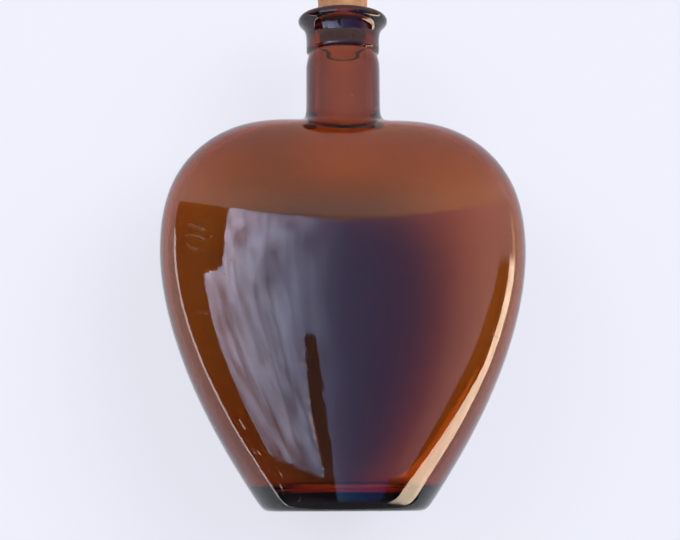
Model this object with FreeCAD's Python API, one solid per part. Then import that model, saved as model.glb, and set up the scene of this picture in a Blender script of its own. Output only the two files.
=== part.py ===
import FreeCAD, Part
import math
import os
from FreeCAD import Vector

# Flattened flagon bottle of moulded glass with a cork stopper, in millimetres.
# +Z runs up the axis of the bottle, the wide face looks along -Y, and the
# origin is the middle of the rest ring under the base.

# Each row of a skin is one ring of control points:
# (height at the sides, height at the front and back, half width, half depth).
# Outside of the body, from the inner edge of the rest ring to inside the root of the neck
OUTSIDE = [
    (0.0, 0.0, 26.0, 23.0),
    (0.0, 0.0, 30.0, 26.5),
    (1.5, 1.5, 31.0, 27.5),
    (22.5, 21.0, 45.0, 33.5),
    (51.5, 48.0, 60.2, 36.8),
    (88.0, 82.0, 71.0, 37.5),
    (121.0, 108.5, 69.0, 38.0),
    (139.5, 127.0, 55.0, 31.0),
    (147.5, 138.0, 38.0, 23.0),
    (148.5, 143.6, 22.0, 16.5),
    (147.0, 145.8, 13.0, 12.0),
    (147.0, 147.0, 8.0, 8.0),
]

# Inside of the body, from the edge of its floor to inside the root of the bore
INSIDE = [
    (7.0, 7.0, 22.0, 19.0),
    (7.0, 7.0, 29.0, 24.5),
    (10.0, 10.0, 33.0, 27.0),
    (25.0, 23.5, 42.0, 30.5),
    (52.5, 49.0, 57.5, 33.6),
    (88.0, 82.0, 68.0, 34.4),
    (119.5, 107.0, 66.0, 34.8),
    (136.0, 124.5, 53.0, 28.5),
    (144.0, 135.0, 36.5, 20.5),
    (146.0, 141.4, 20.0, 14.0),
    (145.2, 143.4, 10.0, 8.5),
    (145.2, 145.2, 5.0, 5.0),
]

# Push-up under the base, from its rim to its crown
PUSH_UP = [
    (0.0, 0.0, 22.0, 19.0),
    (1.5, 1.5, 20.5, 17.5),
    (3.5, 3.5, 16.5, 14.0),
    (4.0, 4.0, 9.0, 8.0),
    (4.0, 4.0, 4.0, 3.5),
]
RING_POINTS = 24

# Neck, groove, collar and lip, which are round
NECK_RADIUS = 14.2
NECK_ROOT_HEIGHT = 141.0
NECK_TOP_HEIGHT = 169.2
SHOULDER_FILLET = 3.5
GROOVE_RADIUS = 13.1
GROOVE_HEIGHT = 174.7
COLLAR_RADIUS = 14.1
COLLAR_BOTTOM_HEIGHT = 175.3
COLLAR_TOP_HEIGHT = 182.5
COLLAR_ROUNDING = 0.8
LIP_RADIUS = 17.25
LIP_BEAD_RADIUS = 2.1
LIP_COVE_DEPTH = 0.8
HEIGHT = 190.2

SHOULDER_HEIGHT = 150.0

# Bore
BORE_RADIUS = 9.3
BORE_ROOT_HEIGHT = 138.0
BORE_ROOT_FILLET = 6.0
MOUTH_ROUNDING = 1.0

# Cork: squeezed to the bore where it sits, and tapered where it stands proud
CORK_CLEARANCE = 0.05
CORK_SEAT_LENGTH = 12.0
CORK_PROUD_LENGTH = 13.0
CORK_TAPER_DEG = 3.5
CORK_CHAMFER = 0.8

# How far from its expected height, or outside its expected radius, an edge may lie and still be found
HEIGHT_SLACK = 0.1
RADIUS_SLACK = 1.0


def smoothing(waves):
    """How far control points must overreach for the skin to reach the size of the wave."""
    return 3.0 / (2.0 + math.cos(2.0 * math.pi * waves / RING_POINTS))


def ring(row):
    """One closed ring of control points for a row of a skin, with the seam at a side."""
    side_height, front_height, half_width, half_depth = row
    mean_height = (side_height + front_height) / 2.0
    height_swing = (side_height - front_height) / 2.0
    points = []
    for index in range(RING_POINTS):
        turn = 2.0 * math.pi * (index - 1) / RING_POINTS
        points.append(Vector(
            smoothing(1) * half_width * math.cos(turn),
            smoothing(1) * half_depth * math.sin(turn),
            mean_height + smoothing(2) * height_swing * math.cos(2.0 * turn)))
    return points


def oval_solid(rows):
    """The solid inside a smooth oval skin through the rows, closed by a flat at each end."""
    spans = len(rows) - 3
    up_knots = [index / spans for index in range(spans + 1)]
    up_mults = [4] + [1] * (spans - 1) + [4]
    round_knots = [index / RING_POINTS for index in range(RING_POINTS + 1)]
    round_mults = [1] * (RING_POINTS + 1)
    skin = Part.BSplineSurface()
    skin.buildFromPolesMultsKnots(
        [ring(row) for row in rows], up_mults, round_mults, up_knots, round_knots,
        False, True, 3, 3)
    side = skin.toShape()
    faces = [side]
    for edge in side.Edges:
        if edge.isClosed() and not edge.isSeam(side):
            faces.append(Part.Face(Part.Wire([edge])))
    shell = Part.Shell(faces)
    shell.sewShape()
    solid = Part.Solid(shell)
    if solid.Volume < 0:
        solid.reverse()
    return solid


def revolve(edges):
    """Turn a closed outline in the XZ plane about the axis of the bottle."""
    face = Part.Face(Part.Wire(Part.__sortEdges__(edges)))
    return face.revolve(Vector(0, 0, 0), Vector(0, 0, 1), 360)


def line(start, end):
    """Straight edge between two (radius, height) points."""
    return Part.LineSegment(Vector(start[0], 0, start[1]), Vector(end[0], 0, end[1])).toShape()


def arc(start, middle, end):
    """Arc through three (radius, height) points."""
    points = [Vector(point[0], 0, point[1]) for point in (start, middle, end)]
    return Part.Arc(*points).toShape()


def neck_and_finish():
    """Round neck with its groove, collar, cove and rolled lip, still without the bore."""
    diagonal = math.sqrt(0.5)
    bead_centre = (LIP_RADIUS - LIP_BEAD_RADIUS, HEIGHT - LIP_BEAD_RADIUS)
    cove_end = (bead_centre[0] + LIP_BEAD_RADIUS * diagonal,
                bead_centre[1] - LIP_BEAD_RADIUS * diagonal)
    collar_low = (COLLAR_RADIUS, COLLAR_BOTTOM_HEIGHT + COLLAR_ROUNDING)
    collar_under = (COLLAR_RADIUS - COLLAR_ROUNDING, COLLAR_BOTTOM_HEIGHT)
    collar_high = (COLLAR_RADIUS, COLLAR_TOP_HEIGHT)
    neck_high = (NECK_RADIUS, NECK_TOP_HEIGHT)
    groove = (GROOVE_RADIUS, GROOVE_HEIGHT)
    groove_slope = (NECK_RADIUS - (NECK_RADIUS - GROOVE_RADIUS) / 4.0,
                    (NECK_TOP_HEIGHT + GROOVE_HEIGHT) / 2.0)
    groove_corner = (GROOVE_RADIUS, (GROOVE_HEIGHT + COLLAR_BOTTOM_HEIGHT) / 2.0)
    edges = [
        line((0, NECK_ROOT_HEIGHT), (NECK_RADIUS, NECK_ROOT_HEIGHT)),
        line((NECK_RADIUS, NECK_ROOT_HEIGHT), neck_high),
        arc(neck_high, groove_slope, groove),
        arc(groove, groove_corner, collar_under),
        arc(collar_under,
            (COLLAR_RADIUS - COLLAR_ROUNDING * (1 - diagonal),
             COLLAR_BOTTOM_HEIGHT + COLLAR_ROUNDING * (1 - diagonal)),
            collar_low),
        line(collar_low, collar_high),
        arc(collar_high,
            (COLLAR_RADIUS + LIP_COVE_DEPTH, (COLLAR_TOP_HEIGHT + cove_end[1]) / 2.0),
            cove_end),
        arc(cove_end,
            (bead_centre[0] + LIP_BEAD_RADIUS, bead_centre[1]),
            (bead_centre[0], HEIGHT)),
        line((bead_centre[0], HEIGHT), (0, HEIGHT)),
        line((0, HEIGHT), (0, NECK_ROOT_HEIGHT)),
    ]
    return revolve(edges)


def junction(solid, low, high, reach):
    """Edges that run round the axis between two heights, no further out than reach."""
    found = []
    for edge in solid.Edges:
        box = edge.BoundBox
        if low < box.ZMin and box.ZMax < high and box.XMax < reach and box.XMin < -reach / 2.0:
            found.append(edge)
    return found


def hollow():
    """The space inside: the oval body and the straight bore, with a soft root and mouth."""
    space = oval_solid(INSIDE)
    bore = Part.makeCylinder(
        BORE_RADIUS, HEIGHT - BORE_ROOT_HEIGHT, Vector(0, 0, BORE_ROOT_HEIGHT))
    space = space.fuse(bore)
    roots = junction(space, BORE_ROOT_HEIGHT, SHOULDER_HEIGHT, BORE_RADIUS + RADIUS_SLACK)
    return space.makeFillet(BORE_ROOT_FILLET, roots)


def glass_bottle():
    """The bottle, blown as one piece of glass."""
    outside = oval_solid(OUTSIDE).fuse(neck_and_finish())
    roots = junction(outside, BORE_ROOT_HEIGHT, SHOULDER_HEIGHT, NECK_RADIUS + RADIUS_SLACK)
    outside = outside.makeFillet(SHOULDER_FILLET, roots)
    space = hollow()
    print("brimful capacity: %.0f ml" % (space.Volume / 1000.0))
    bottle = outside.cut(space).cut(oval_solid(PUSH_UP))
    mouth = junction(
        bottle, HEIGHT - HEIGHT_SLACK, HEIGHT + HEIGHT_SLACK, BORE_RADIUS + RADIUS_SLACK)
    return bottle.makeFillet(MOUTH_ROUNDING, mouth)


def cork_stopper():
    """One-piece cork: a seat in the bore and a tapered head to grip."""
    seat_radius = BORE_RADIUS - CORK_CLEARANCE
    top_radius = seat_radius + CORK_PROUD_LENGTH * math.tan(math.radians(CORK_TAPER_DEG))
    seat = Part.makeCylinder(
        seat_radius, CORK_SEAT_LENGTH, Vector(0, 0, HEIGHT - CORK_SEAT_LENGTH))
    head = Part.makeCone(
        seat_radius, top_radius, CORK_PROUD_LENGTH, Vector(0, 0, HEIGHT))
    cork = seat.fuse(head)
    ends = [edge for edge in cork.Edges
            if isinstance(edge.Curve, Part.Circle)
            and abs(edge.BoundBox.ZMin - HEIGHT) > HEIGHT_SLACK]
    return cork.makeChamfer(CORK_CHAMFER, ends)


NODES = {
    "glass_bottle": glass_bottle,
    "cork_stopper": cork_stopper,
}

os.makedirs("parts", exist_ok=True)
for name, make in NODES.items():
    shape = make()
    shape.exportStep("parts/%s.step" % name)
    box = shape.BoundBox
    print("%s: %.1f cm3, valid %s, %d solid, z %.1f to %.1f" % (
        name, shape.Volume / 1000.0, shape.isValid(), len(shape.Solids), box.ZMin, box.ZMax))
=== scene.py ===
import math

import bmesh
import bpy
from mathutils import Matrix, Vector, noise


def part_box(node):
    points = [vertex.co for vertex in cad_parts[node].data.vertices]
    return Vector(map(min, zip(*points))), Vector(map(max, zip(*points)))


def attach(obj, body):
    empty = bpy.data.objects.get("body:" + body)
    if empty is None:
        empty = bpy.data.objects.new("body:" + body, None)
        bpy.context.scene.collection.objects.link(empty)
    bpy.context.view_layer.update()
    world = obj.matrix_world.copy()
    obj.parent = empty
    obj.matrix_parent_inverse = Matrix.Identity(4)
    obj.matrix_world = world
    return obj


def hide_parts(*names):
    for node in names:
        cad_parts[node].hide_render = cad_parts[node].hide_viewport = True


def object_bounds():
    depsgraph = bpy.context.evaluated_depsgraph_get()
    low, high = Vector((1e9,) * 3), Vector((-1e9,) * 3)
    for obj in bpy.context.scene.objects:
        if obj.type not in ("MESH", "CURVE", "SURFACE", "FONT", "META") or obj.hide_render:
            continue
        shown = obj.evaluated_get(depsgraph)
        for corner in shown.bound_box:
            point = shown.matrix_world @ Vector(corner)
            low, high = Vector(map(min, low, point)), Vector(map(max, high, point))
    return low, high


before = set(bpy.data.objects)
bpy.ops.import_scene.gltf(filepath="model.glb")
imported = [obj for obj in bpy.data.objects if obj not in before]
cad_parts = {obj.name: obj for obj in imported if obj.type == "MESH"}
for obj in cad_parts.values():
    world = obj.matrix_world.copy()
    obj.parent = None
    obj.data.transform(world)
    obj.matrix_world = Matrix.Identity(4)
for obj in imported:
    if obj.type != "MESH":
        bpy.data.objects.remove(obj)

# %% [markdown]
# # A corked amber flagon
# The object is a flat, heart-shaped flagon of amber glass with a round neck and a natural
# cork. It is two pieces: the blown bottle and its stopper. The imported model says how big
# they are and how the cork pulls out, so that comes first.
# The frame's box is kept now and printed.

CAD_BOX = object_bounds()
MM = 0.001
scene = bpy.context.scene
print("frame box, mm:", [[round(v / MM, 2) for v in corner] for corner in CAD_BOX])

# %% [markdown]
# ## The bottle's profile
# A flagon like this is blown into a two-part mould, so its skin is one smooth surface: an
# oval foot, flat broad sides, shoulders that roll over into the neck, and a fire-polished
# lip. It could be a lathe shape squashed flat, but the shoulders are higher at the sides
# than at the front, which a lathe can't give. So it is a stack of rings instead. Each
# ring has a height at its sides, a height at its front and back, a half width and a
# half depth. A subdivision surface then runs smoothly through them, and it is the same
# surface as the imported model's, because both are cubic in the same rings.

# %% Rings from the push-up, round the outside, over the lip and down the inside
RING_POINTS = 24

# (height at the sides, height at the front and back, half width, half depth), in mm
PUSH_UP = [
    (4.0, 4.0, 3.0, 2.6),
    (4.0, 4.0, 9.0, 8.0),
    (3.6, 3.6, 16.0, 13.8),
    (1.8, 1.8, 20.3, 17.4),
    (0.2, 0.2, 21.8, 18.8),
    (0.0, 0.0, 22.8, 19.8),
]
OUTSIDE = [
    (0.0, 0.0, 26.0, 23.0),
    (0.0, 0.0, 28.6, 25.3),
    (0.9, 0.9, 30.8, 27.3),
    (5.0, 5.0, 33.6, 28.9),
    (22.5, 21.0, 45.0, 33.5),
    (51.5, 48.0, 60.2, 36.8),
    (88.0, 82.0, 71.0, 37.5),
    (121.0, 108.5, 69.0, 38.0),
    (139.5, 127.0, 55.0, 31.0),
    (147.5, 138.0, 38.0, 23.0),
]
SHOULDER_ROOT = [
    (148.5, 143.4, 23.0, 17.2),
    (147.8, 145.2, 17.4, 15.1),
    (149.4, 147.2, 14.7, 14.3),
    (152.5, 151.0, 14.2, 14.2),
]
NECK = [
    (158.0, 158.0, 14.2, 14.2),
    (164.0, 164.0, 14.2, 14.2),
    (168.4, 168.4, 14.2, 14.2),
    (170.6, 170.6, 14.15, 14.15),
    (172.2, 172.2, 13.87, 13.87),
    (173.6, 173.6, 13.50, 13.50),
    (174.6, 174.6, 13.18, 13.18),
    (175.0, 175.0, 13.08, 13.08),
    (175.25, 175.25, 13.25, 13.25),
    (175.45, 175.45, 13.85, 13.85),
    (176.2, 176.2, 14.15, 14.15),
    (178.5, 178.5, 14.1, 14.1),
    (181.5, 181.5, 14.1, 14.1),
    (184.0, 184.0, 14.5, 14.5),
    (185.9, 185.9, 15.8, 15.8),
    (186.9, 186.9, 17.0, 17.0),
    (188.3, 188.3, 17.4, 17.4),
    (189.7, 189.7, 16.7, 16.7),
    (190.3, 190.3, 15.0, 15.0),
    (190.2, 190.2, 12.5, 12.5),
    (190.2, 190.2, 10.8, 10.8),
    (190.0, 190.0, 9.6, 9.6),
    (188.8, 188.8, 9.25, 9.25),
    (180.0, 180.0, 9.3, 9.3),
    (165.0, 165.0, 9.3, 9.3),
    (154.0, 151.5, 9.3, 9.3),
]
INSIDE = [
    (150.0, 146.4, 9.7, 9.6),
    (147.0, 142.9, 12.2, 11.2),
    (146.0, 141.0, 17.0, 14.0),
    (145.5, 139.2, 24.0, 16.4),
    (144.0, 135.0, 36.5, 20.5),
    (136.0, 124.5, 53.0, 28.5),
    (119.5, 107.0, 66.0, 34.8),
    (88.0, 82.0, 68.0, 34.4),
    (52.5, 49.0, 57.5, 33.6),
    (25.0, 23.5, 42.0, 30.5),
    (12.0, 12.0, 34.0, 27.6),
    (8.0, 8.0, 30.5, 25.4),
    (7.0, 7.0, 25.0, 21.5),
    (7.0, 7.0, 14.0, 12.0),
    (7.0, 7.0, 5.0, 4.3),
]

print("rings:", len(PUSH_UP + OUTSIDE + SHOULDER_ROOT + NECK + INSIDE))

# %% [markdown]
# ## From rings to one closed skin
# A subdivision surface shrinks a ring a little, and shrinks waves round it more, so each
# ring is drawn larger by exactly what the surface takes away. The skin starts as a capped
# circle under the foot. Its edge loop is extruded once for each ring, and the last loop is
# capped inside, so the outer skin and the inner skin are one closed wall with real
# thickness. Glass needs that: light bends on the way in and again on the way out.

# %% Growing a ring, and a shell of rings
def smoothing(waves):
    """What a subdivision surface takes off a wave that goes so many times round a ring."""
    return 3.0 / (2.0 + math.cos(2.0 * math.pi * waves / RING_POINTS))


def ring_shape(verts, row):
    side, front, width, depth = row
    middle, swing = (side + front) / 2.0, (side - front) / 2.0
    for index, vert in enumerate(verts):
        turn = 2.0 * math.pi * index / RING_POINTS
        vert.co = MM * Vector((
            smoothing(1) * width * math.cos(turn),
            smoothing(1) * depth * math.sin(turn),
            middle + smoothing(2) * swing * math.cos(2.0 * turn)))


def next_ring(bm, edges):
    """Extrude one edge loop, and give the new loop's vertices and edges."""
    grown = bmesh.ops.extrude_edge_only(bm, edges=edges)["geom"]
    verts = [part for part in grown if isinstance(part, bmesh.types.BMVert)]
    found = set(verts)
    rim = [part for part in grown if isinstance(part, bmesh.types.BMEdge)
           and found.issuperset(part.verts)]
    return verts, rim


def new_piece(name, bm):
    """Turn a finished bmesh into a smooth object at the origin."""
    bmesh.ops.recalc_face_normals(bm, faces=bm.faces)
    mesh = bpy.data.meshes.new(name)
    bm.to_mesh(mesh)
    bm.free()
    mesh.shade_smooth()
    piece = bpy.data.objects.new(name, mesh)
    scene.collection.objects.link(piece)
    return piece


def oval_shell(name, rows):
    bm = bmesh.new()
    ring = bmesh.ops.create_circle(bm, cap_ends=True, segments=RING_POINTS, radius=1.0)["verts"]
    ring_shape(ring, rows[0])
    edges = list(bm.edges)
    for row in rows[1:]:
        ring, edges = next_ring(bm, edges)
        ring_shape(ring, row)
    bmesh.ops.contextual_create(bm, geom=edges)
    return new_piece(name, bm)


print("a ring is drawn larger by:", round(smoothing(1), 4), "and its waves by:", round(smoothing(2), 4))

# %% Blow the bottle
def make_real(piece):
    """Keep the surface that the piece's modifiers give, and drop the modifiers."""
    ready = piece.evaluated_get(bpy.context.evaluated_depsgraph_get())
    mesh = bpy.data.meshes.new_from_object(ready)
    piece.modifiers.clear()
    piece.data = mesh


bottle = oval_shell("amber_bottle", PUSH_UP + OUTSIDE + SHOULDER_ROOT + NECK + INSIDE)
skin = bottle.modifiers.new("skin", "SUBSURF")
skin.levels = skin.render_levels = 3
make_real(bottle)
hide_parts("glass_bottle")
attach(bottle, "bottle")
print("bottle:", len(bottle.data.polygons), "faces")

# %% [markdown]
# ## The cork
# The stopper is a punched natural cork. Its lower part is squeezed straight by the bore and
# its head stands proud with a slight taper. Cork oak has dark pores that run across it, and
# both ends are cut clean with softly broken edges. A plain cylinder with painted pores would
# look printed on, so the side is made fine enough to dent. Every vertex is pushed in where a
# noise dips and never out, because the cork fits the bore closely.

# %% Cork sizes, from the frame
CORK_SEGMENTS = 160
CORK_STEPS = 64
CORK_EDGE = 0.8 * MM
CORK_SEAT = 12.0 * MM
CORK_TAPER_DEGREES = 3.5
END_RINGS = 14
END_RING_WIDTH = 0.6 * MM
PORE_DEPTH = 0.4 * MM
cork_low, cork_high = (Vector(corner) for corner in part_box("cork_stopper"))
head_radius = (cork_high.x - cork_low.x) / 2.0
TAPER = math.tan(math.radians(CORK_TAPER_DEGREES))
cork_length = cork_high.z - cork_low.z
cork_foot_radius = head_radius - TAPER * (cork_length - CORK_SEAT - CORK_EDGE)
print("cork, mm:", round(cork_length / MM, 1), "long,", round(2.0 * head_radius / MM, 1), "across")


# %% Turn the cork
def cork_radius(up):
    """The cork's radius at a height above its foot."""
    flare = TAPER * max(0.0, up - CORK_SEAT)
    bevel = max(0.0, CORK_EDGE - up, CORK_EDGE - (cork_length - up))
    return cork_foot_radius + flare - bevel


def set_ring(verts, radius, height):
    for vert in verts:
        flat = Vector((vert.co.x, vert.co.y, 0.0)).normalized() * radius
        vert.co = (flat.x, flat.y, height)


def cork_blank(name):
    bm = bmesh.new()
    foot = bmesh.ops.create_circle(bm, cap_ends=True, segments=CORK_SEGMENTS, radius=1.0)["verts"]
    set_ring(foot, cork_radius(0.0), cork_low.z)
    edges = list(bm.edges)
    for step in range(1, CORK_STEPS + 1):
        up = cork_length * step / CORK_STEPS
        ring, edges = next_ring(bm, edges)
        set_ring(ring, cork_radius(up), cork_low.z + up)
    bmesh.ops.contextual_create(bm, geom=edges)
    ends = [face for face in bm.faces if len(face.verts) > 4]
    for _ in range(END_RINGS):
        bmesh.ops.inset_individual(bm, faces=ends, thickness=END_RING_WIDTH, use_even_offset=True)
    return bm


# Noise cells per metre: pores lie across the cork, so they are packed closer along it
PORES_ROUND, PORES_ALONG, PATCHES = 420.0, 1100.0, 190.0
PATCH_PLACE = Vector((7.0, 3.0, 5.0))
PORE_START, PATCH_SWAY, PORE_SLOPE = 0.34, 0.35, 5.0
CLEAR_DENT = 0.3


def pore_dent(spot):
    """How far a point of the cork sinks, from 0 to 1."""
    crumb = noise.noise(Vector((spot.x * PORES_ROUND, spot.y * PORES_ROUND, spot.z * PORES_ALONG)))
    patch = noise.noise(spot * PATCHES + PATCH_PLACE)
    return min(1.0, max(0.0, (crumb - PORE_START + PATCH_SWAY * patch) * PORE_SLOPE))


def dent(bm, depth):
    """Push every vertex in by its pore, and count the clear dents."""
    bmesh.ops.recalc_face_normals(bm, faces=bm.faces)
    bm.normal_update()
    inward = [(vert, -vert.normal * depth * pore_dent(vert.co)) for vert in bm.verts]
    for vert, push in inward:
        vert.co += push
    return sum(1 for vert, push in inward if push.length > CLEAR_DENT * depth)


blank = cork_blank("natural_cork")
print("cork dents:", dent(blank, PORE_DEPTH), "of", len(blank.verts), "vertices")
cork = new_piece("natural_cork", blank)
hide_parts("cork_stopper")
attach(cork, "stopper")

# %% [markdown]
# ## Small helpers for shader nodes
# Materials here are drawn with nodes, and most of them are sums. A helper that adds one node
# and feeds it numbers or other nodes keeps each recipe short enough to read.

# %% Node helpers
def feed(tree, socket, value):
    """Give a socket a number, a colour or another node's output."""
    if isinstance(value, bpy.types.NodeSocket):
        tree.links.new(value, socket)
    elif isinstance(value, tuple) and socket.type == "RGBA":
        socket.default_value = (*value, 1.0)
    else:
        socket.default_value = value


def add_node(tree, kind, inputs=(), **settings):
    node = tree.nodes.new("ShaderNode" + kind)
    for name, value in settings.items():
        setattr(node, name, value)
    for name, value in dict(inputs).items():
        feed(tree, node.inputs[name], value)
    return node


def sums(tree, operation, *values):
    return add_node(tree, "Math", enumerate(values), operation=operation).outputs[0]


def product(tree, *values):
    """All the values multiplied together."""
    result = values[0]
    for value in values[1:]:
        result = sums(tree, "MULTIPLY", result, value)
    return result


def straight(tree, value, slope, start):
    """A straight line: start where the value is 0, and slope more for each 1 of it."""
    return sums(tree, "MULTIPLY_ADD", value, slope, start)


def soft_step(tree, value, start, end):
    """0 before start, 1 after end, and smooth between them."""
    inputs = {"Value": value, "From Min": start, "From Max": end}
    return add_node(tree, "MapRange", inputs, interpolation_type="SMOOTHSTEP").outputs[0]


def between(tree, value, low, high, edge):
    """1 between two values, with soft edges."""
    rise = soft_step(tree, sums(tree, "SUBTRACT", value, low), -edge, edge)
    fall = soft_step(tree, sums(tree, "SUBTRACT", value, high), edge, -edge)
    return sums(tree, "MULTIPLY", rise, fall)


def blend(tree, share, first, second, kind="MIX"):
    inputs = {0: share, 6: first, 7: second}
    return add_node(tree, "Mix", inputs, data_type="RGBA", blend_type=kind).outputs[2]


def dimmed(tree, colour, strength):
    """A colour made brighter or darker by a value."""
    grey = add_node(tree, "CombineColor", {0: strength, 1: strength, 2: strength}).outputs[0]
    return blend(tree, 1.0, colour, grey, "MULTIPLY")


def new_material(name):
    material = bpy.data.materials.new(name)
    material.use_nodes = True
    tree = material.node_tree
    return material, tree, tree.nodes["Principled BSDF"]


print("helpers:", [maker.__name__ for maker in (product, straight, soft_step, between, blend, dimmed)])

# %% [markdown]
# ## Effects that several finishes share
# Glass, cork and paper all vary slowly across their surface, and all carry small specks:
# dust on the glass, pores in the cork, flecks in the paper. Each effect is made once as a
# node group with its own inputs and outputs, and every finish sets its own values. Pattern
# sizes are per metre on Object coordinates, so they keep their size on every piece.

# %% Node group: slow mottling
def new_group(name, inputs, output):
    group = bpy.data.node_groups.new(name, "ShaderNodeTree")
    group.interface.new_socket("Vector", in_out="INPUT", socket_type="NodeSocketVector")
    for title, start in inputs:
        socket = group.interface.new_socket(title, in_out="INPUT", socket_type="NodeSocketFloat")
        socket.default_value = start
    group.interface.new_socket(output, in_out="OUTPUT", socket_type="NodeSocketFloat")
    entry = group.nodes.new("NodeGroupInput").outputs
    leave = group.nodes.new("NodeGroupOutput").inputs
    return group, entry, leave


mottle, entry, leave = new_group(
    "mottle", [("Scale", 60.0), ("Detail", 3.0), ("Low", 0.35), ("High", 0.65)], "Value")
cloud = add_node(mottle, "TexNoise", {
    "Vector": entry["Vector"], "Scale": entry["Scale"], "Detail": entry["Detail"]})
feed(mottle, leave["Value"], soft_step(mottle, cloud.outputs[0], entry["Low"], entry["High"]))
print("group:", mottle.name, [item.name for item in mottle.interface.items_tree])

# %% Node group: scattered specks
specks, entry, leave = new_group(
    "specks", [("Scale", 600.0), ("Size", 0.2), ("Share", 0.3)], "Mask")
grain = add_node(specks, "TexVoronoi", {"Vector": entry["Vector"], "Scale": entry["Scale"]})
lucky = add_node(specks, "SeparateColor", {0: grain.outputs["Color"]})
inner = sums(specks, "MULTIPLY", entry["Size"], 0.5)
dot = soft_step(specks, grain.outputs["Distance"], entry["Size"], inner)
kept = sums(specks, "LESS_THAN", lucky.outputs[0], entry["Share"])
feed(specks, leave["Mask"], sums(specks, "MULTIPLY", dot, kept))
print("group:", specks.name, [item.name for item in specks.interface.items_tree])


def effect(tree, group, where, **values):
    node = add_node(tree, "Group", node_tree=group)
    feed(tree, node.inputs["Vector"], where)
    for title, value in values.items():
        feed(tree, node.inputs[title], value)
    return node.outputs[0]


# %% [markdown]
# ## Amber glass
# Amber glass is clear glass that soaks up blue light almost at once, green light soon and red
# light slowly. Tinting the surface would colour thick and thin parts alike. A volume that
# absorbs light by the millimetre makes the thin walls orange and the heavy neck and foot
# brown, so the colour follows the wall by itself. The surface then carries what handling leaves:
# a very slight waviness from the mould, finger smudges that blur the reflection, and dust.

# %% How far each colour gets through the glass
TAKEN_PER_METRE = (150.0, 375.0, 760.0)
DENSITY = max(TAKEN_PER_METRE)
GLASS_TINT = tuple(1.0 - taken / DENSITY for taken in TAKEN_PER_METRE)
WALL = 3.5 * MM
THROUGH_WALL = [round(math.exp(-taken * WALL), 3) for taken in TAKEN_PER_METRE]
print("red, green, blue left by a wall of", round(WALL / MM, 1), "mm:", THROUGH_WALL)

# %% Glass body
SODA_GLASS_IOR = 1.52
glass, tree, skin = new_material("amber glass")
skin.inputs["Transmission Weight"].default_value = 1.0
skin.inputs["IOR"].default_value = SODA_GLASS_IOR
colour_body = add_node(tree, "VolumeAbsorption", {"Color": GLASS_TINT, "Density": DENSITY})
feed(tree, tree.nodes["Material Output"].inputs["Volume"], colour_body.outputs[0])
place = tree.nodes.new("ShaderNodeTexCoord").outputs["Object"]

# %% Finger strokes
STROKE_LEAN, STROKE_SWAY = 0.38, 0.5


def finger_marks(tree, place, centre, size, spacing):
    """A few short slanted strokes, as finger tips leave, inside a small soft spot."""
    moved = add_node(tree, "Mapping", {"Vector": place, "Location": centre, "Scale": size},
                     vector_type="TEXTURE")
    away = add_node(tree, "VectorMath", {0: moved.outputs[0]}, operation="LENGTH")
    spot = soft_step(tree, away.outputs["Value"], 1.25, 0.75)
    where = add_node(tree, "SeparateXYZ", {0: place}).outputs
    drift = effect(tree, mottle, place, Scale=110.0, Detail=2.0, Low=0.2, High=0.8)
    slant = straight(tree, where["X"], STROKE_LEAN, where["Z"])
    slant = straight(tree, drift, STROKE_SWAY * spacing, slant)
    stripes = sums(tree, "SINE", sums(tree, "MULTIPLY", slant, 2.0 * math.pi / spacing))
    return product(tree, spot, soft_step(tree, stripes, 0.15, 0.95))


# Where fingers touched the glass, and how far each spot reaches each way, in metres
GRIP, GRIP_SIZE, GRIP_SPACING = (-0.0560, -0.0220, 0.1000), (0.0046, 0.0080, 0.0066), 0.0037
TIPS = ((-0.0562, -0.0205, 0.0810), (-0.0535, -0.0215, 0.0708), (0.0540, -0.0200, 0.0640))
TIP_SIZE, TIP_SPACING, TIP_STRENGTH = (0.0024, 0.0080, 0.0020), 0.0030, 0.8
strokes = finger_marks(tree, place, GRIP, GRIP_SIZE, GRIP_SPACING)
for centre in TIPS:
    tip = finger_marks(tree, place, centre, TIP_SIZE, TIP_SPACING)
    strokes = sums(tree, "MAXIMUM", strokes, sums(tree, "MULTIPLY", tip, TIP_STRENGTH))
print("spots that fingers touched:", 1 + len(TIPS))

# %% Smudges, dust and waviness
STROKE_BLUR, SMUDGE_BLUR, DUST_BLUR = 0.30, 0.035, 0.35
WAVE_HEIGHT, PEEL_SHARE = 0.12 * MM, 0.09
smudges = effect(tree, mottle, place, Scale=26.0, Detail=4.0, Low=0.52, High=0.72)
dust = effect(tree, specks, place, Scale=420.0, Size=0.16, Share=0.05)
blur = sums(tree, "MULTIPLY", strokes, STROKE_BLUR)
blur = straight(tree, smudges, SMUDGE_BLUR, blur)
blur = straight(tree, dust, DUST_BLUR, blur)
feed(tree, skin.inputs["Roughness"], blur)
wave = effect(tree, mottle, place, Scale=34.0, Detail=1.0, Low=0.2, High=0.8)
peel = effect(tree, mottle, place, Scale=260.0, Detail=2.0, Low=0.2, High=0.8)
wave = straight(tree, peel, PEEL_SHARE, wave)
ripple = add_node(tree, "Bump", {"Height": wave, "Strength": 1.0, "Distance": WAVE_HEIGHT})
feed(tree, skin.inputs["Normal"], ripple.outputs["Normal"])
print("waviness, mm high:", round(WAVE_HEIGHT / MM, 2))

# %% [markdown]
# ### The bottle's own shade
# The bottle lies against a pale sheet, and what makes its middle so dark is the shade that it
# casts on that sheet: light only gets under it from the sides. Light that has already been
# scattered by the sheet or by the cork meets darker glass here, most of all in the body, so the
# shade under the bottle stays deep. What looks straight through the glass keeps its true colour.

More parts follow.
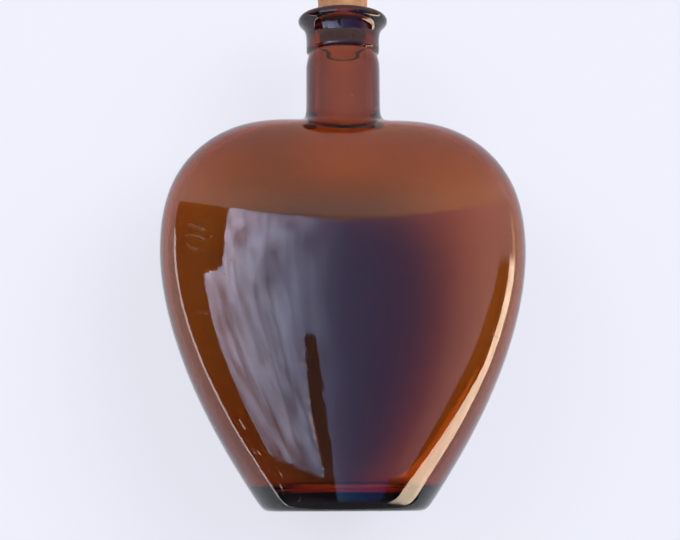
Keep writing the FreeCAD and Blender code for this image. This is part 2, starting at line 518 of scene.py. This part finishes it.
# %% Deep shade for scattered light
SCATTERED_ONCE = 0.5
CLEAR = (1.0, 1.0, 1.0)
SHADE = (0.045, 0.025, 0.018)
NECK_SHARE = 0.45
BODY_TOP, NECK_FOOT = 0.138, 0.150
depth = tree.nodes.new("ShaderNodeLightPath").outputs["Diffuse Depth"]
scattered = sums(tree, "GREATER_THAN", depth, SCATTERED_ONCE)
up = add_node(tree, "SeparateXYZ", {0: place}).outputs["Z"]
body = soft_step(tree, up, NECK_FOOT, BODY_TOP)
in_shade = product(tree, scattered, straight(tree, body, 1.0 - NECK_SHARE, NECK_SHARE))
feed(tree, skin.inputs["Base Color"], blend(tree, in_shade, CLEAR, SHADE))
bottle.data.materials.append(glass)
print("glass nodes:", len(tree.nodes))

# %% [markdown]
# ## Natural cork
# Cork is warm tan, with darker bands where the bark grew slowly, a fine crumb all over and
# pores that are nearly black at the bottom. The bands run along the stopper, because it is
# punched along the tree. The same dent pattern can't be read by a material, so the pores are
# drawn again with specks squeezed along the axis, which also darkens the smallest ones that
# are too fine to model.

# %% Cork finish
DARK_BAND, LIGHT_BAND = (0.40, 0.175, 0.078), (0.54, 0.27, 0.135)
CRUMB, PIT, PORE = (0.62, 0.36, 0.20), (0.17, 0.065, 0.028), (0.10, 0.036, 0.016)
CRUMB_SHARE, PIT_SHARE, PORE_SHARE = 0.30, 0.55, 0.85
CUT_DEPTH = 0.22 * MM
bark, tree, skin = new_material("natural cork")
place = tree.nodes.new("ShaderNodeTexCoord").outputs["Object"]
long_way = add_node(tree, "Mapping", {"Vector": place, "Scale": (1.0, 1.0, 0.16)}).outputs[0]
across = add_node(tree, "Mapping", {"Vector": place, "Scale": (0.6, 0.6, 1.6)}).outputs[0]
bands = effect(tree, mottle, long_way, Scale=330.0, Detail=5.0, Low=0.30, High=0.70)
crumb = effect(tree, mottle, place, Scale=1500.0, Detail=5.0, Low=0.30, High=0.72)
pores = effect(tree, specks, across, Scale=520.0, Size=0.26, Share=0.16)
pits = effect(tree, specks, across, Scale=1300.0, Size=0.24, Share=0.14)
tan = blend(tree, bands, DARK_BAND, LIGHT_BAND)
tan = blend(tree, sums(tree, "MULTIPLY", crumb, CRUMB_SHARE), tan, CRUMB)
tan = blend(tree, sums(tree, "MULTIPLY", pits, PIT_SHARE), tan, PIT)
tan = blend(tree, sums(tree, "MULTIPLY", pores, PORE_SHARE), tan, PORE)
feed(tree, skin.inputs["Base Color"], tan)
feed(tree, skin.inputs["Roughness"], straight(tree, pores, 0.2, 0.72))
skin.inputs["Specular IOR Level"].default_value = 0.3
holes = sums(tree, "ADD", pores, pits)
height = sums(tree, "SUBTRACT", sums(tree, "MULTIPLY", crumb, 0.25), holes)
rough_cut = add_node(tree, "Bump", {"Height": height, "Strength": 0.7, "Distance": CUT_DEPTH})
feed(tree, skin.inputs["Normal"], rough_cut.outputs["Normal"])
cork.data.materials.append(bark)
print("cork nodes:", len(tree.nodes))

# %% [markdown]
# ## The camera
# The bottle is seen square on, from 0.6 m, a few degrees left of its middle, with the lens
# level with the foot and tilted up. That is why the foot looks flat and the lip shows its
# underside. The tone curve is the plain one, so that colours come out as they are mixed.

# %% Camera
EYE_DISTANCE = 0.604
EYE_ASIDE, EYE_HEIGHT = -1.9 * MM, -0.5 * MM
TILT, ROLL, YAW = math.radians(98.58), math.radians(0.26), math.radians(-4.0)
SENSOR_WIDTH, FOCAL_LENGTH = 36.0, 85.235
lens = bpy.data.cameras.new("camera")
lens.sensor_width = SENSOR_WIDTH
lens.lens = FOCAL_LENGTH
camera = bpy.data.objects.new("camera", lens)
scene.collection.objects.link(camera)
camera.location = (
    EYE_DISTANCE * math.sin(YAW) + EYE_ASIDE, -EYE_DISTANCE * math.cos(YAW), EYE_HEIGHT)
camera.rotation_euler = (TILT, ROLL, YAW)
scene.camera = camera
scene.view_settings.view_transform = "Standard"
print("lens, mm:", round(lens.lens, 1))

# %% [markdown]
# ## Sheet and floor
# The bottle rests against a pale sheet, and in other views it stands on a pale floor. Both
# are painted on one side only, and their backs are clear, so a view from behind or from
# below isn't blocked. The sheet is a hair behind the bottle's back, where it catches the
# bottle's shade. The floor is only there for the camera and takes no part in reflections.

# %% Paper that is seen from one side
PALE = (0.851, 0.863, 0.956)
# The paper's darker soft blotches are painted crease shade. Its small flecks are fibres, the paper's
# own colour.
CREASE_SHADE_SHARE, FIBRE_SHARE, SHADE_AND_FLECK_TONE = 0.12, 0.10, 0.86


def one_sided_paper(name, colour, own_glow):
    """Matt paper with a clear back. Its own glow lifts the shadows, except behind the glass."""
    material, tree, paint = new_material(name)
    place = tree.nodes.new("ShaderNodeTexCoord").outputs["Object"]
    # Painted shade: soft blotches darken the flat paper as if creases in it lay in shade.
    crease_shade = effect(tree, mottle, place, Scale=9.0, Detail=6.0, Low=0.3, High=0.75)
    fibre = effect(tree, specks, place, Scale=120.0, Size=0.1, Share=0.05)
    crease_shade_and_fibre = straight(tree, crease_shade, CREASE_SHADE_SHARE, sums(tree, "MULTIPLY", fibre, FIBRE_SHARE))
    shaded_and_flecked = tuple(SHADE_AND_FLECK_TONE * part for part in colour)
    feed(tree, paint.inputs["Base Color"], blend(tree, crease_shade_and_fibre, colour, shaded_and_flecked))
    paint.inputs["Roughness"].default_value = 0.9
    paint.inputs["Specular IOR Level"].default_value = 0.0
    glow = add_node(tree, "Emission", {"Color": PALE, "Strength": 1.0})
    behind = tree.nodes.new("ShaderNodeLightPath").outputs["Is Transmission Ray"]
    share = sums(tree, "MULTIPLY", sums(tree, "SUBTRACT", 1.0, behind), own_glow)
    front = add_node(tree, "MixShader", {0: share, 1: paint.outputs[0], 2: glow.outputs[0]})
    clear = add_node(tree, "BsdfTransparent")
    back = tree.nodes.new("ShaderNodeNewGeometry").outputs["Backfacing"]
    side = add_node(tree, "MixShader", {0: back, 1: front.outputs[0], 2: clear.outputs[0]})
    feed(tree, tree.nodes["Material Output"].inputs["Surface"], side.outputs[0])
    return material


def stage_piece(name, bm, material, hidden_from=()):
    """A piece of the stage, which some kinds of ray may pass as if it weren't there."""
    mesh = bpy.data.meshes.new(name)
    bm.to_mesh(mesh)
    bm.free()
    mesh.materials.append(material)
    piece = bpy.data.objects.new(name, mesh)
    scene.collection.objects.link(piece)
    for ray in hidden_from:
        setattr(piece, "visible_" + ray, False)
    return piece


print("paper tone, red, green, blue:", PALE)

# %% Hang the sheet and lay the floor
PAPER = (0.83, 0.835, 0.93)
SHEET_GAP = 0.3 * MM
SHEET_LEFT, SHEET_RIGHT, SHEET_LOW, SHEET_HIGH = -0.6, 0.7, -0.35, 0.85
FLOOR_HALF_SIZE, FLOOR_DROP = 1.5, 0.01 * MM
sheet_paper = one_sided_paper("sheet paper", PAPER, own_glow=0.80)
floor_paper = one_sided_paper("floor paper", PAPER, own_glow=0.40)


def upright(left, right, low, high, behind):
    """One upright rectangle that faces the front, a little behind the bottle's back."""
    half = 0.5
    bm = bmesh.new()
    bmesh.ops.create_grid(bm, x_segments=1, y_segments=1, size=half)
    bmesh.ops.rotate(bm, verts=bm.verts, matrix=Matrix.Rotation(math.radians(90.0), 3, "X"))
    bmesh.ops.scale(bm, verts=bm.verts, vec=(right - left, 1.0, high - low))
    bmesh.ops.translate(bm, verts=bm.verts, vec=(
        (left + right) / 2.0, CAD_BOX[1][1] + behind, (low + high) / 2.0))
    return bm


stage_piece("sheet", upright(SHEET_LEFT, SHEET_RIGHT, SHEET_LOW, SHEET_HIGH, SHEET_GAP),
            sheet_paper, ("glossy",))
bm = bmesh.new()
bmesh.ops.create_grid(bm, x_segments=1, y_segments=1, size=FLOOR_HALF_SIZE)
bmesh.ops.translate(bm, verts=bm.verts, vec=(0.0, 0.0, -FLOOR_DROP))
stage_piece("floor", bm, floor_paper, ("diffuse", "glossy", "transmission", "shadow"))
print("sheet, m:", round(SHEET_RIGHT - SHEET_LEFT, 2), "by", round(SHEET_HIGH - SHEET_LOW, 2))

# %% [markdown]
# ## Light
# Glass shows what is round it more than what it is made of, so the light is designed as a room.
# A tall window with a net curtain is on the left, a dark post stands beside it, a lamp strip
# is low on the right behind a door, bluish walls are straight in front, and white paper is
# everywhere above the shoulders. The room is written by direction, in degrees: turn is the
# angle about the bottle from straight in front, and rise is the angle up. It could be built
# of real walls, but directions are enough for a curved mirror as small as this one.

# %% Directions in the room
HALF_TURN = 180.0
world = bpy.data.worlds.new("studio")
scene.world = world
world.use_nodes = True
tree = world.node_tree
heading = tree.nodes.new("ShaderNodeTexCoord").outputs["Generated"]
part = add_node(tree, "SeparateXYZ", {0: heading}).outputs
forward = sums(tree, "MULTIPLY", part["Y"], -1.0)
turn = sums(tree, "DEGREES", sums(tree, "ARCTAN2", part["X"], forward))
rise = sums(tree, "DEGREES", sums(tree, "ARCSINE", part["Z"]))

# %% Walls, from behind on the left round to behind on the right
WALLS = [
    (-140, (0.84, 0.84, 0.92)),
    (-128, (0.05, 0.05, 0.07)),
    (-50, (0.05, 0.05, 0.07)),
    (-24, (0.45, 0.92, 1.95)),
    (0, (0.22, 0.58, 1.44)),
    (18, (0.20, 0.40, 1.12)),
    (44, (0.25, 0.26, 0.92)),
    (70, (0.80, 0.80, 1.25)),
    (110, (0.85, 0.80, 0.85)),
    (140, (0.84, 0.84, 0.92)),
]
walls = add_node(tree, "ValToRGB", {0: straight(tree, turn, 0.5 / HALF_TURN, 0.5)})
ramp = walls.color_ramp
while len(ramp.elements) < len(WALLS):
    ramp.elements.new(1.0)
for stop, (angle, colour) in zip(ramp.elements, WALLS):
    stop.position = 0.5 + 0.5 * angle / HALF_TURN
    stop.color = (*colour, 1.0)
room = walls.outputs[0]
print("walls:", len(ramp.elements), "colours")

# %% [markdown]
# ### The window
# A net curtain isn't even: it hangs in narrow upright folds, and the sky behind it is cloudy.
# So its brightness is one noise stretched upright, times a rounder noise, and it grows
# upwards. The window is wider below its sill line, which gives its reflection a step.

# %% Window with a curtain, on the left
CURTAIN = (2.0, 2.7, 4.0)
WINDOW_EDGE, EDGE_LEAN = -67.0, 0.17
SILL_LOW, SILL_HIGH, SILL_STEP = 2.6, 5.6, 15.0
FADE_START, FADE_END = 6.0, -52.0
DARKEST_CLOUD = 0.35


def cloth_noise(turn_size, rise_size, detail):
    """A noise over the room's directions, with its own size round and up, in degrees."""
    where = add_node(tree, "CombineXYZ", {
        "X": sums(tree, "DIVIDE", turn, turn_size), "Y": sums(tree, "DIVIDE", rise, rise_size)})
    return add_node(tree, "TexNoise", {
        "Vector": where.outputs[0], "Scale": 1.0, "Detail": detail}).outputs[0]


sill = soft_step(tree, rise, SILL_LOW, SILL_HIGH)
frame_edge = straight(tree, sill, SILL_STEP, straight(tree, rise, EDGE_LEAN, WINDOW_EDGE))
clouds = straight(tree, cloth_noise(10.0, 8.0, 4.0), 3.8, -0.75)
folds = straight(tree, cloth_noise(2.2, 34.0, 3.0), 1.20, 0.40)
upwards = straight(tree, rise, 0.020, 1.22)
cloth = product(tree, sums(tree, "MAXIMUM", clouds, DARKEST_CLOUD), folds, upwards)
opening = soft_step(tree, sums(tree, "SUBTRACT", turn, frame_edge), -0.8, 0.8)
fade = soft_step(tree, turn, FADE_START, FADE_END)
room = blend(tree, product(tree, opening, fade), room, dimmed(tree, CURTAIN, cloth))
print("window, degrees:", WINDOW_EDGE, "to", FADE_START)

# %% A dark post beside the window, with a shining left edge
POST, POST_EDGE = (0.12, 0.16, 0.20), (3.2, 3.4, 3.8)
POST_TURN, POST_LEAN, POST_SWAY = -13.0, 0.11, 3.2
POST_HALF_WIDTH, POST_WIDENS, POST_WIDEST = 2.6, -0.16, 4.4
POST_TOP, POST_TOP_END = 0.6, 2.6
from_post = sums(tree, "ADD", turn, straight(tree, rise, -POST_LEAN, -POST_TURN))
sway = straight(tree, cloth_noise(2.0, 2.4, 3.0), POST_SWAY, -0.5 * POST_SWAY)
from_post = sums(tree, "ADD", from_post, sway)
half_post = sums(tree, "MINIMUM", POST_WIDEST, straight(tree, rise, POST_WIDENS, POST_HALF_WIDTH))
shown = soft_step(tree, rise, POST_TOP_END, POST_TOP)
past_edge = sums(tree, "SUBTRACT", sums(tree, "ABSOLUTE", from_post), half_post)
inside_post = soft_step(tree, past_edge, 0.5, -0.5)
left_edge = between(tree, sums(tree, "ADD", from_post, half_post), -1.9, 0.2, 0.4)
glints = soft_step(tree, cloth_noise(3.0, 1.6, 3.0), 0.44, 0.62)
room = blend(tree, product(tree, inside_post, shown), room, POST)
room = blend(tree, product(tree, left_edge, glints, shown), room, POST_EDGE)
print("post, degrees wide:", 2.0 * POST_HALF_WIDTH, "to", 2.0 * POST_WIDEST)

# %% Dark floor of the room, with flecks of light low on the left
DARK_FLOOR, FLECK = (0.10, 0.09, 0.10), (3.8, 3.5, 3.1)
PALE_LEFT, PALE_RIGHT = -12.0, 46.0
FLOOR_START, FLOOR_END = -29.5, -31.5
FLECKS_LEFT, FLECKS_RIGHT = -98.0, -60.0
unlit = straight(tree, between(tree, turn, PALE_LEFT, PALE_RIGHT, 1.5), -1.0, 1.0)
dark_floor = product(tree, soft_step(tree, rise, FLOOR_START, FLOOR_END), unlit)
room = blend(tree, dark_floor, room, DARK_FLOOR)
fleck_at = add_node(tree, "CombineXYZ", {
    "X": sums(tree, "MULTIPLY", turn, 0.16), "Y": sums(tree, "MULTIPLY", rise, 0.30)}).outputs[0]
flecks = effect(tree, specks, fleck_at, Scale=1.0, Size=0.26, Share=0.42)
low_left = product(tree, between(tree, turn, FLECKS_LEFT, FLECKS_RIGHT, 3.0),
                   soft_step(tree, rise, -19.0, -24.0))
room = blend(tree, product(tree, flecks, low_left), room, FLECK)
print("flecks, degrees:", FLECKS_LEFT, "to", FLECKS_RIGHT)

# %% [markdown]
# ### The lamp strip
# The bright streak down the right side is a warm lamp strip seen past a dark door. Both lean
# inwards below the waist, and the strip widens there. Above the door the strip carries on as
# a dim glow, which runs up along the rim.

# %% Door and lamp strip, on the right
DOOR, LAMP, LAMP_GLOW = (0.05, 0.04, 0.05), (9.4, 7.4, 5.4), (2.6, 1.9, 1.3)
LAMP_TURN, LAMP_WIDTH, LAMP_LEAN, LAMP_WIDENS = 96.5, 11.0, 1.15, -0.9
WAIST = -12.0
DOOR_TURN, DOOR_LEAN = 79.5, 0.55
DOOR_TOP, DOOR_TOP_END = 4.0, 8.0
below = sums(tree, "MINIMUM", 0.0, sums(tree, "SUBTRACT", rise, WAIST))
lamp_edge = straight(tree, below, LAMP_LEAN, LAMP_TURN)
lamp_end = sums(tree, "ADD", lamp_edge, straight(tree, below, LAMP_WIDENS, LAMP_WIDTH))
door_edge = straight(tree, rise, DOOR_LEAN, DOOR_TURN)
low_down = soft_step(tree, rise, DOOR_TOP_END, DOOR_TOP)
door = product(tree, between(tree, turn, door_edge, lamp_edge, 1.0), low_down)
room = blend(tree, door, room, DOOR)
glow_edge = sums(tree, "ADD", lamp_edge, 6.0)
glow = product(tree, between(tree, turn, glow_edge, lamp_end, 1.0), soft_step(tree, rise, 21.0, 12.0))
room = blend(tree, glow, room, LAMP_GLOW)
lamp = product(tree, between(tree, turn, lamp_edge, lamp_end, 0.8), low_down)
patchy = straight(tree, cloth_noise(5.0, 4.0, 4.0), 0.95, 0.55)
room = blend(tree, lamp, room, dimmed(tree, LAMP, patchy))
print("lamp strip, degrees:", LAMP_TURN, "to", LAMP_TURN + LAMP_WIDTH)

# %% White paper above the shoulders, and dusk under the foot
PAPER_ABOVE, DUSK = (0.80, 0.78, 0.80), (0.32, 0.29, 0.34)
SKYLINE, SKYLINE_RISES = 20.5, 0.085
skyline = straight(tree, sums(tree, "ABSOLUTE", turn), SKYLINE_RISES, SKYLINE)
above = soft_step(tree, sums(tree, "SUBTRACT", rise, skyline), -1.0, 1.0)
room = blend(tree, above, room, PAPER_ABOVE)
room = blend(tree, soft_step(tree, rise, -36.0, -46.0), room, DUSK)
print("skyline, degrees up:", SKYLINE)

# %% [markdown]
# ### Who sees what
# Reflections see the room. The camera, and light that has gone right through the bottle, see
# plain pale paper. Matt things are lit by a plain soft light, which comes mostly from the
# two sides, from in front and from above. It gets in under the bottle only near its sides,
# which is what leaves the middle of the glass dark and its sides glowing orange.

# %% Soft light for matt things
SOFT_LIGHT = (0.98, 0.985, 1.0)
LOW_LIGHT, LEFT_LIGHT, RIGHT_LIGHT = 0.26, 17.0, 27.5
LEAST_GRAZING, LEAST_FROM_BELOW = 0.06, 0.03
on_right = sums(tree, "GREATER_THAN", part["X"], 0.0)
strength = straight(tree, on_right, RIGHT_LIGHT - LEFT_LIGHT, LEFT_LIGHT)
in_front = soft_step(tree, part["Y"], -0.32, -0.80)
in_front = straight(tree, in_front, 1.0 - LEAST_GRAZING, LEAST_GRAZING)
sideways = product(tree, part["X"], part["X"], strength, in_front)
overhead = soft_step(tree, part["Z"], -0.15, 0.45)
overhead = straight(tree, overhead, 1.0 - LEAST_FROM_BELOW, LEAST_FROM_BELOW)
soft = product(tree, sums(tree, "ADD", sideways, LOW_LIGHT), overhead)
matt = dimmed(tree, SOFT_LIGHT, soft)
print("right to left light:", round(RIGHT_LIGHT / LEFT_LIGHT, 2))

# %% Share the views out
SURFACES_THROUGH = 3.5
ray = tree.nodes.new("ShaderNodeLightPath").outputs
through = sums(tree, "GREATER_THAN", ray["Transmission Depth"], SURFACES_THROUGH)
clean = sums(tree, "LESS_THAN", ray["Diffuse Depth"], SCATTERED_ONCE)
shiny = product(tree, ray["Is Glossy Ray"], clean)
seen = blend(tree, through, room, PALE)
seen = blend(tree, shiny, matt, seen)
seen = blend(tree, ray["Is Camera Ray"], seen, PALE)
feed(tree, tree.nodes["Background"].inputs["Color"], seen)
print("room nodes:", len(tree.nodes))

# %% [markdown]
# ### What the rims reflect
# Close to its outline the bottle mirrors the sheet beside it. Those reflections want a sheet
# with its own edges: on the right it stops early, so that the lamp shows past it, and on the
# left it ends in a lit edge, which draws the thin bright line down the bottle's side. Only
# reflections see these two pieces.

# %% Reflected sheet and its lit edge
FOR_MIRRORS_ONLY = ("camera", "diffuse", "transmission", "shadow", "volume_scatter")
LEFT_END, RIGHT_END = -0.265, 0.19
EDGE_WIDTH, EDGE_TOP = 0.085, 0.16
EDGE_LIGHT, EDGE_STRENGTH = (1.0, 0.93, 0.93), 5.0


def glowing(name, colour, strength):
    """A material that only gives light."""
    material, tree, _ = new_material(name)
    glow = add_node(tree, "Emission", {"Color": colour, "Strength": strength})
    feed(tree, tree.nodes["Material Output"].inputs["Surface"], glow.outputs[0])
    return material, tree, glow


stage_piece("mirrored_sheet", upright(LEFT_END, RIGHT_END, SHEET_LOW, SHEET_HIGH, SHEET_GAP),
            sheet_paper, FOR_MIRRORS_ONLY)
lit_edge, tree, glow = glowing("lit edge", EDGE_LIGHT, EDGE_STRENGTH)
stage_piece("mirrored_edge", upright(LEFT_END - EDGE_WIDTH, LEFT_END, SHEET_LOW, EDGE_TOP, SHEET_GAP),
            lit_edge, FOR_MIRRORS_ONLY)
print("reflected sheet, m wide:", round(RIGHT_END - LEFT_END, 3))

# %% [markdown]
# ### The paper hood
# The neck stands higher than the shoulders, so it looks up at the same white paper from
# much nearer. A room written by direction alone can't do that, because it is endlessly far
# away. A round white hood above the stopper can. It is brighter towards its rim, and only
# reflections and what is seen through the glass have it in view.

# %% Hood
HOOD_HEIGHT, HOOD_FRONT, HOOD_SIDE = 0.220, 0.305, 0.285
HOOD_SEGMENTS = 96
HOOD_LIGHT, HOOD_MIDDLE, HOOD_RIM = (1.0, 0.97, 1.0), 0.74, 1.08
RIM_START, RIM_FULL = 0.24, 0.32
hood_paper, tree, glow = glowing("hood paper", HOOD_LIGHT, HOOD_MIDDLE)
place = tree.nodes.new("ShaderNodeTexCoord").outputs["Object"]
away = add_node(tree, "VectorMath", {0: place}, operation="LENGTH").outputs["Value"]
rim = soft_step(tree, away, RIM_START, RIM_FULL)
feed(tree, glow.inputs["Strength"], straight(tree, rim, HOOD_RIM - HOOD_MIDDLE, HOOD_MIDDLE))
bm = bmesh.new()
bmesh.ops.create_circle(bm, cap_ends=True, segments=HOOD_SEGMENTS, radius=1.0)
bmesh.ops.scale(bm, verts=bm.verts, vec=(HOOD_SIDE, HOOD_FRONT, 1.0))
bmesh.ops.translate(bm, verts=bm.verts, vec=(0.0, 0.0, HOOD_HEIGHT))
stage_piece("hood", bm, hood_paper, ("camera", "diffuse", "shadow", "volume_scatter"))
print("hood, mm up:", round(HOOD_HEIGHT / MM))
